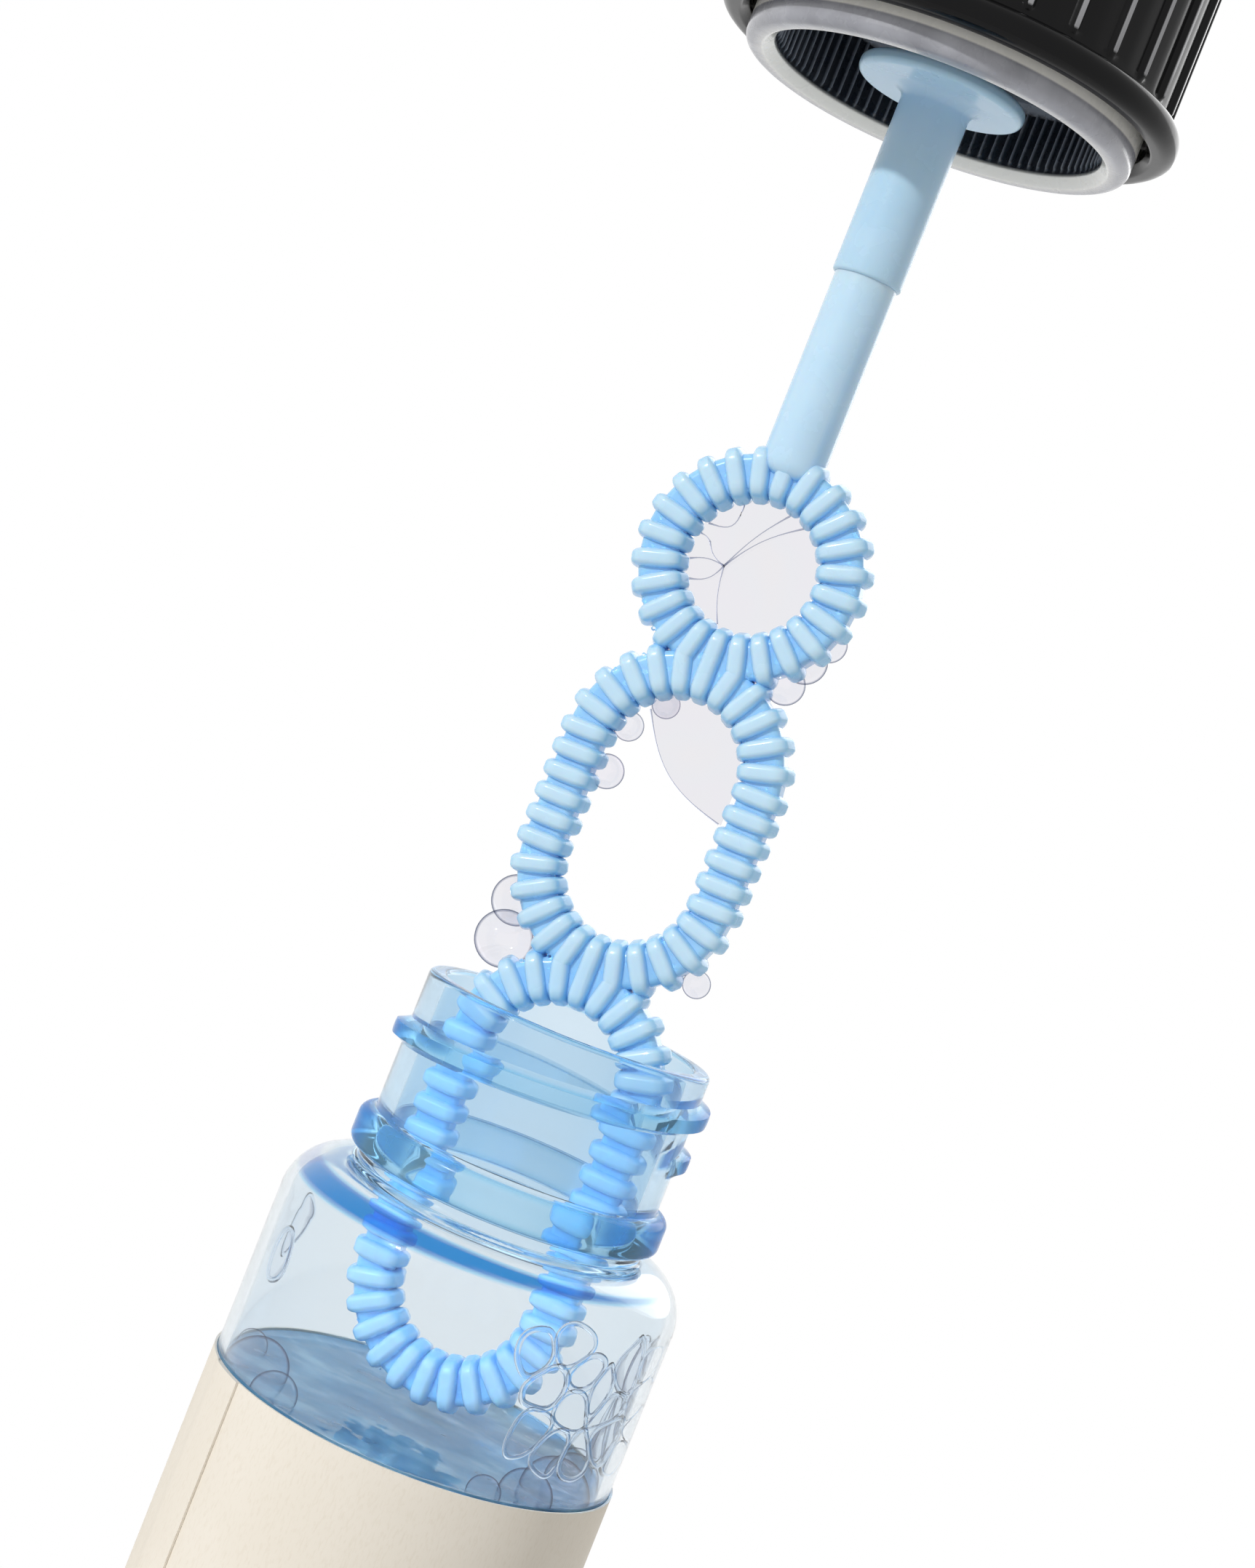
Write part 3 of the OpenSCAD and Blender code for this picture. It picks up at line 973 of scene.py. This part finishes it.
def pool(point):
    """Painted shade in deep blue, for light bent and dimmed in the plastic: a band in the shoulder, uneven
    round the bottle, and two opposite sides of the ridges.
    """
    r = radius_of(point)
    angle = atan2(point.y, point.x)
    uneven = 0.5 - 0.5 * cos(angle - POOL_THIN)
    low = SHOULDER_Z - 1.7 - 1.5 * uneven
    high = SHOULDER_Z - 1.6 + 0.3 * uneven
    band = smoothstep(low, low + 0.5, point.z) * fall(high - 0.3, high, point.z)
    inner = fall(-0.5, -0.3, shoulder_depth(r, point.z)) * (r > BORE_R + 2)
    sides = smoothstep(0.72, 0.97, abs(cos(angle - RIDGE_DEEP)))
    return max(band * inner, sides * on_ridge(point))


def make_bottle():
    inner_top = SHOULDER_Z - BODY_WALL
    bottle = lathe("clear_bottle", rounded([
        (0, DISH_Z, 0), (DISH_R, DISH_Z, 1), (FOOT_R, BASE_Z, 0.7), (BODY_R, BASE_Z, HEEL),
        (BODY_R, SHOULDER_Z, SHOULDER_R), (NECK_R, SHOULDER_Z, 0.5), (NECK_R, BEAD_LOW, 0.3),
        (BEAD_R, BEAD_LOW, 0.8), (BEAD_R, BEAD_HIGH, 0.8), (NECK_R, BEAD_HIGH, 0.4),
        (NECK_R, RIM_Z, 0.5), (BORE_R, RIM_Z, 0.5), (BORE_R, inner_top, 0.9),
        (INSIDE_R, inner_top, SHOULDER_R - BODY_WALL), (INSIDE_R, FLOOR_Z, INNER_HEEL), (0, FLOOR_Z, 0),
    ]), even_angles(BOTTLE_STEPS))
    fuse(bottle, [helix_ridge("neck_thread", NECK_R, THREAD_R, THREAD_TURNS, THREAD_LOW_Z)])
    paint(bottle, "thick", thickness)
    paint(bottle, "pool", pool)
    wall = clear_plastic("clear_plastic", ior=1.33, gloss=0.1, deep="#0056B6", haze=0.2)
    give(bottle, wall, "bottle", "bottle_clear", "bottle")

    # The ridges bend light less than the wall, so that they show their blue and no dark edges
    ridge = clear_plastic("ridge_plastic", ior=1.06, gloss=0.3, deep="#0A80D0", haze=0.7)
    bottle.data.materials.append(ridge)
    for face in bottle.data.polygons:
        corners = [bottle.data.vertices[i].co / MM for i in face.vertices]
        r = middle([radius_of(p) for p in corners])
        z = middle([p.z for p in corners])
        face.material_index = int(r > NECK_R + 0.1 and BEAD_LOW - 0.05 < z < RIM_Z - 1)


def make_solution():
    """The solution, which wets the wall: its edge climbs, and its side laps into the wall."""
    wet_r = INSIDE_R + WALL_LAP
    low = FLOOR_Z - WALL_LAP
    surface = [
        (r, LEVEL_Z + CLIMB * ((r - CLIMB_R) / (wet_r - CLIMB_R)) ** 2.5)
        for r in (16.4, 16.2, 15.9, 15.5, 15, CLIMB_R)
    ]
    side = rounded([(0, low, 0), (wet_r, low, INNER_HEEL), (wet_r, LEVEL_Z + CLIMB, 0)], closed=False)
    solution = lathe("bubble_solution", side + surface + [(0, LEVEL_Z)], even_angles(BOTTLE_STEPS))
    give(solution, liquid(), "bottle", "solution_liquid", "solution")


def make_label():
    """A strip of paper wrapped once round, with its end lapped over its start."""
    inner = BODY_R + LABEL_GAP
    end = tau + LABEL_LAP / inner
    rng = random.Random(5)
    wave = [rng.uniform(0, tau) for _ in range(LABEL_WAVES)]

    def lift(turn, z):
        over = 0.21 * smoothstep(tau - 0.03, tau + 0.05, turn)
        swings = [sin((k + 2) * turn + wave[k] + z * 0.03 * k) for k in range(LABEL_WAVES)]
        loose = 0.02 * smoothstep(end - 0.08, end, turn)
        return over + abs(sum(swings) * 0.008) + loose

    rows = []
    for i in range(LABEL_COLUMNS + 1):
        turn = end * i / LABEL_COLUMNS
        back, face = [], []
        for k in range(LABEL_LEVELS + 1):
            z = LABEL_LOW + (LABEL_TOP - LABEL_LOW) * k / LABEL_LEVELS
            r = inner + lift(turn, z)
            back.append(polar(r, LABEL_START + turn, z))
            face.append(polar(r + LABEL_T, LABEL_START + turn, z))
        rows.append(back + list(reversed(face)))
    verts, faces = [], []
    add_rows(verts, faces, rows)
    for first in (0, len(verts) - len(rows[0])):
        for k in range(LABEL_LEVELS):
            last = first + len(rows[0]) - 1 - k
            faces.append((first + k, first + k + 1, last - 1, last))
    give(make_object("paper_label", verts, faces), paper(), "bottle", "label_paper", "label")


# Soap films, bubbles and drops

def tube(path, radii, sides=8):
    """Points round each point of a path, in rows, for a thread of changing thickness."""
    rows = []
    for i, point in enumerate(path):
        ahead = path[min(i + 1, len(path) - 1)] - path[max(i - 1, 0)]
        turn = ahead.to_track_quat("Z", "X").to_matrix()
        rows.append([point + turn @ Vector(polar(radii[i], a, 0)) for a in even_angles(sides)])
    return rows


def threads(name, paths, thin, thick):
    """Threads of solution along paths, each thicker at its ends, as one mesh."""
    mesh = [], []
    for path in paths:
        last = len(path) - 1
        radii = [thin + (thick - thin) * abs(2 * i / last - 1) ** 3 for i in range(last + 1)]
        add_rows(*mesh, tube(path, radii), capped=True)
    return make_object(name, *mesh, SOFT)


def balls(name, places, detail, shape=None):
    """Round drops or bubbles at (centre, radius) places as one mesh; shape may press each point."""
    work = bmesh.new()
    for centre, radius in places:
        ball = bmesh.ops.create_icosphere(work, subdivisions=detail, radius=radius)
        for vert in ball["verts"]:
            vert.co += Vector(centre)
            if shape:
                vert.co = shape(vert.co)
    work.transform(Matrix.Scale(MM, 4))
    mesh = bpy.data.meshes.new(name)
    work.to_mesh(mesh)
    work.free()
    return add_object(name, mesh, SOFT)


def arc(first, last, bow, steps=10):
    """A path in the plane of the rings between two (x, z) points, bowed sideways."""
    start, end = Vector((first[0], 0, first[1])), Vector((last[0], 0, last[1]))
    side = Vector((end.z - start.z, 0, start.x - end.x)).normalized() * bow
    return [start.lerp(end, i / steps) + side * sin(pi * i / steps) for i in range(steps + 1)]


def make_upper_film(sheet, centre):
    """A bulging film across the whole of ring 1."""
    rings = 10
    rows = [[(0, FILM_BULGE, centre)]]
    for i in range(1, rings + 1):
        r = FILM_R * i / rings
        y = FILM_BULGE * (1 - (i / rings) ** 2)
        rows.append([(r * cos(a), y, centre + r * sin(a)) for a in even_angles(FILM_STEPS)])
    mesh = [], []
    add_rows(*mesh, rows)
    give(make_object("upper_film", *mesh, SOFT), sheet, "wand", "solution_liquid")


def make_corner_film(sheet, centre):
    """A film across the upper right of ring 2; returns the path of its free edge."""
    round_steps, side_steps, columns = 18, 6, 8
    side = 3.2
    first = radians(132)
    edge = arc((-3.6, centre + 3.6), (5.4, centre - side), 1.5, round_steps + side_steps)
    verts, faces = [], []
    for i, start in enumerate(edge):
        angle = first * (1 - min(1, i / round_steps))
        drop = side * max(0, i - round_steps) / side_steps
        end = Vector((FILM_R * cos(angle), 0, centre + FILM_R * sin(angle) - drop))
        verts += [start.lerp(end, k / columns) for k in range(columns + 1)]
    for i in range(len(edge) - 1):
        for k in range(columns):
            a = i * (columns + 1) + k
            faces.append((a, a + 1, a + columns + 2, a + columns + 1))
    give(make_object("corner_film", verts, faces, SOFT), sheet, "wand", "solution_liquid")
    return edge


def make_film_borders(centre, edge):
    """Threads where the cells in ring 1 meet, and along the corner film's free edge."""
    def at(x, z):
        return x, centre + z

    node, fork = at(-2.3, -0.6), at(-4.2, 0.9)
    paths = [
        arc(node, at(1.4, 5.2), -0.3), arc(node, at(2.9, 4.6), -0.5), arc(node, at(-5.3, -1), 0.3),
        arc(node, at(-4.7, -2.6), -0.5), arc(node, at(-1, -5.3), 0.25), arc(fork, node, 0.3),
        arc(at(-4.9, 2.3), at(-2.6, 4.7), 1.1), arc(fork, at(-5.2, 1.3), 0.1), edge,
    ]
    borders = threads("film_borders", paths, thin=0.04, thick=0.09)
    give(borders, wet("border_wet", "#B9BDCB"), "wand", "solution_liquid")


def make_films():
    """A film across ring 1, one across a corner of ring 2, and the threads on them."""
    upper_1, upper_2 = (upper for upper, _ in ring_centres()[:2])
    sheet = soap_film("soap_film", (0.83, 0.823, 0.855, 1))
    make_upper_film(sheet, upper_1)
    edge = make_corner_film(sheet, upper_2)
    make_film_borders(upper_1, edge)


def make_wand_bubbles():
    """Bubbles caught on the rings, none of them reaching as far out as the bottle's bore."""
    (upper_1, _), (upper_2, lower_2) = ring_centres()[:2]
    bubbles = balls("ring_bubbles", [
        ((-4.9, 0.3, upper_2 + 1.6), 1.3), ((-5.2, 0.2, upper_2 - 2.6), 1.5),
        ((-2.6, 0.4, upper_2 + 4.4), 1.2), ((7, 0.6, upper_1 - 5.6), 1.9),
        ((8.4, 0.5, upper_1 - 3.6), 1.5), ((6.2, 0.4, upper_1 - 8), 1.7),
        ((8.5, 1, lower_2 - 6.3), 1.2), ((-8.4, 0.6, lower_2 - 5.6), 2.2),
        ((-8.2, 0.4, lower_2 - 9), 2.5),
    ], 4)
    give(bubbles, soap_film("bubble_film", (0.925, 0.92, 0.94, 1)), "wand", "solution_liquid")


def make_groove_drops():
    """Small drops in the grooves between the ribs, on the front."""
    rng = random.Random(11)
    places = []
    for upper, lower in ring_centres():
        for i in range(RIB_STEPS):
            for centre, sign in ((upper, 1), (lower, -1)):
                angle = sign * pi * (i + 0.5) / RIB_STEPS
                for _ in range(rng.randint(0, 4)):
                    tilt = angle + rng.uniform(-0.03, 0.03)
                    r = LINE_R + rng.uniform(-CORE_HALF, CORE_HALF)
                    y = -CORE_DEPTH / 2 - rng.uniform(-0.05, 0.05)
                    spot = (r * cos(tilt), y, centre + r * sin(tilt))
                    places.append((spot, rng.uniform(0.1, 0.24)))
    give(balls("groove_drops", places, 2), wet("drop_wet", "#EAF5FD"), "wand", "solution_liquid")


def scattered(rng, centre, half, gap):
    """Random (x, y) points on the unrolled wall, no two of them close together."""
    seeds = []
    for _ in range(FOAM_TRIES):
        point = (rng.uniform(-half, half) + centre, rng.uniform(LEVEL_Z - 4, FOAM_TOP + 5))
        if all(dist(point, other) > gap * rng.uniform(0.6, 1.2) for other in seeds):
            seeds.append(point)
    return seeds


def foam_cells(seeds, margin):
    """Outlines of the cells round scattered (x, y) seeds, apart from those that leave a margin."""
    points, _, triangles = delaunay_2d_cdt([Vector(p) for p in seeds], [], [], 0, 1e-4)[:3]
    cells = [[] for _ in points]
    for corners in triangles:
        a, b, c = (points[n] for n in corners)
        d = 2 * (a.x * (b.y - c.y) + b.x * (c.y - a.y) + c.x * (a.y - b.y))
        squares = a.length_squared, b.length_squared, c.length_squared
        x = (squares[0] * (b.y - c.y) + squares[1] * (c.y - a.y) + squares[2] * (a.y - b.y)) / d
        y = (squares[0] * (c.x - b.x) + squares[1] * (a.x - c.x) + squares[2] * (b.x - a.x)) / d
        for n in corners:
            cells[n].append(Vector((x, y)))
    low_x, high_x, low_y, high_y = margin
    kept = []
    for seed, cell in zip(points, cells):
        if len(cell) > 2 and all(low_x < p.x < high_x and low_y < p.y < high_y for p in cell):
            kept.append(sorted(cell, key=lambda p: atan2(p.y - seed.y, p.x - seed.x)))
    return kept


def softened(outline, rounds=3):
    """A closed outline with its corners cut again and again, so that it turns round."""
    for _ in range(rounds):
        ahead = outline[1:] + outline[:1]
        outline = [p.lerp(q, t) for p, q in zip(outline, ahead) for t in (0.25, 0.75)]
    return outline


def wall_point(point, off):
    """A point of the unrolled wall, on the bottle's inner wall or off it towards the axis."""
    return Vector(polar(INSIDE_R - off, point.x / INSIDE_R, point.y))


def wall_loop(outline, radius, sides=8):
    """Rows of points round a closed thread that lies on the bottle's inner wall."""
    path = [wall_point(p, radius * FOAM_FLAT * 0.9) for p in outline]
    rows = []
    for before, here, after in zip(path[-1:] + path[:-1], path, path[1:] + path[:1]):
        out = Vector((here.x, here.y, 0)).normalized()
        side = (after - before).normalized().cross(out)
        rows.append([
            here + (out * cos(a) * FOAM_FLAT + side * sin(a)) * radius for a in even_angles(sides)
        ])
    return rows


def wall_dome(outline, core):
    """Rows of points of a low film dome over a cell on the bottle's inner wall."""
    lift = 0.3 * sum((p - core).length for p in outline) / len(outline)
    rows = []
    for s in (0.98, 0.88, 0.7, 0.4):
        off = FOAM_OFF + lift * (1 - s * s)
        rows.append([wall_point(core.lerp(p, s), off) for p in outline])
    rows.append([wall_point(core, FOAM_OFF + lift)])
    return rows


def make_wall_foam():
    """Foam on the bottle's inner wall: many cells on its right side and a few on its left."""
    rng = random.Random(23)
    loops, domes = ([], []), ([], [])
    for direction, spread, gap, share in FOAM_PATCHES:
        centre, half = radians(direction) * INSIDE_R, radians(spread) * INSIDE_R
        seeds = scattered(rng, centre, half, gap)
        margin = (centre - half + FOAM_MARGIN, centre + half - FOAM_MARGIN, LEVEL_Z + 0.2, FOAM_TOP)
        for cell in foam_cells(seeds, margin):
            if rng.random() > share:
                continue
            core = sum(cell, Vector((0, 0))) / len(cell)
            outline = [core.lerp(p, 0.97) for p in softened(cell)]
            add_rows(*loops, wall_loop(outline, rng.uniform(0.2, 0.3)), closed=True)
            add_rows(*domes, wall_dome(outline, core))
    foam_threads = make_object("wall_foam", *loops, SOFT)
    give(foam_threads, wet("foam_wet", "#EDF3FA", 1.3), "bottle", "solution_liquid")
    foam_films = make_object("foam_films", *domes, SOFT)
    give(foam_films, soap_film("foam_film", (0.95, 0.955, 0.965, 1)), "bottle", "solution_liquid")


def make_surface_bubbles():
    """Bubbles floating on the solution by the wall, clear of the wand's way."""
    def settle(point):
        squeeze = min(1, (INSIDE_R - 0.08) / radius_of(point))
        return Vector((point.x * squeeze, point.y * squeeze, max(point.z, LEVEL_Z - 0.1)))

    places = []
    for direction, radius in FLOATING:
        places.append((polar(INSIDE_R - radius, radians(direction), LEVEL_Z + 0.3), radius))
    bubbles = balls("surface_bubbles", places, 4, settle)
    give(bubbles, soap_film("floating_film", (0.93, 0.935, 0.95, 1)), "bottle", "solution_liquid")


def finish_seal():
    """Gives the seal, which keeps its CAD shape, its material."""
    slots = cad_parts["seal_wad"].data.materials
    slots.clear()
    slots.append(foam())


# Stage, light and camera

def make_floor():
    """A pale disc that takes shadows, with a glow for the camera that brings it up to white."""
    outline = [(0, 0), (FLOOR_RADIUS, 0), (FLOOR_RADIUS, -FLOOR_T), (0, -FLOOR_T)]
    floor = lathe("floor", outline, even_angles(FLOOR_STEPS))
    look, surface = bare_look("floor_white")
    matte = add_node(look, "BsdfDiffuse", Color=(FLOOR_WHITE, FLOOR_WHITE, FLOOR_WHITE, 1))
    glow = add_node(look, "Emission")
    link(look, scaled(look, seen_directly(look), FLOOR_GLOW), glow.inputs["Strength"])
    join_shaders(look, "AddShader", matte, glow, surface)
    floor.data.materials.append(look)


def make_world():
    """White round about, with more light on the object from below, where the pale floor throws it back."""
    world = bpy.data.worlds.new("studio")
    scene.world = world
    world.use_nodes = True
    back = world.node_tree.nodes["Background"]
    back.inputs["Color"].default_value = (1, 1, 1, 1)
    split = add_node(world, "SeparateXYZ")
    link(world, add_node(world, "TexCoord").outputs["Generated"], split.inputs["Vector"])
    level = add_node(world, "MapRange")
    for key, value in (("From Min", -0.6), ("From Max", -0.1), ("To Min", BOUNCE), ("To Max", SKY)):
        level.inputs[key].default_value = value
    link(world, split.outputs["Z"], level.inputs["Value"])
    strength = math_node(world, "MAXIMUM", level.outputs["Result"], seen_directly(world))
    link(world, strength, back.inputs["Strength"])


def make_lamp(name, strength, angle, azimuth, elevation):
    """A lamp that shines from a direction, counted from the front towards +X and up."""
    sun = bpy.data.lights.new(name, "SUN")
    sun.energy = strength
    sun.angle = angle
    lamp = bpy.data.objects.new(name, sun)
    scene.collection.objects.link(lamp)
    level = cos(elevation)
    source = Vector((sin(azimuth) * level, -cos(azimuth) * level, sin(elevation)))
    lamp.rotation_euler = source.to_track_quat("Z", "Y").to_euler()


def make_camera():
    data = bpy.data.cameras.new("camera")
    data.sensor_fit = "VERTICAL"
    data.sensor_height = SENSOR_HEIGHT
    data.lens = CAMERA_LENS
    data.clip_start = CAMERA_NEAR
    camera = bpy.data.objects.new("camera", data)
    scene.collection.objects.link(camera)
    swing = Matrix.Rotation(CAMERA_AZIMUTH, 4, "Z")
    aim = (
        Matrix.Rotation(CAMERA_YAW, 4, "Z") @ Matrix.Rotation(CAMERA_PITCH, 4, "X")
        @ Matrix.Rotation(-CAMERA_ROLL, 4, "Y") @ Matrix.Rotation(pi / 2, 4, "X")
    )
    camera.matrix_world = swing @ Matrix.Translation((0, -CAMERA_DISTANCE, CAMERA_HEIGHT)) @ aim
    scene.camera = camera


make_camera()
make_world()
make_lamp("key", KEY_STRENGTH, KEY_ANGLE, KEY_AZIMUTH, KEY_ELEVATION)
make_lamp("back", BACK_STRENGTH, BACK_ANGLE, BACK_AZIMUTH, BACK_ELEVATION)
make_floor()
make_wand()
make_holder()
make_outer_cap()
make_inner_cap()
make_bottle()
make_solution()
make_label()
make_films()
make_wand_bubbles()
make_groove_drops()
make_wall_foam()
make_surface_bubbles()
finish_seal()

scene.view_settings.view_transform = "Standard"
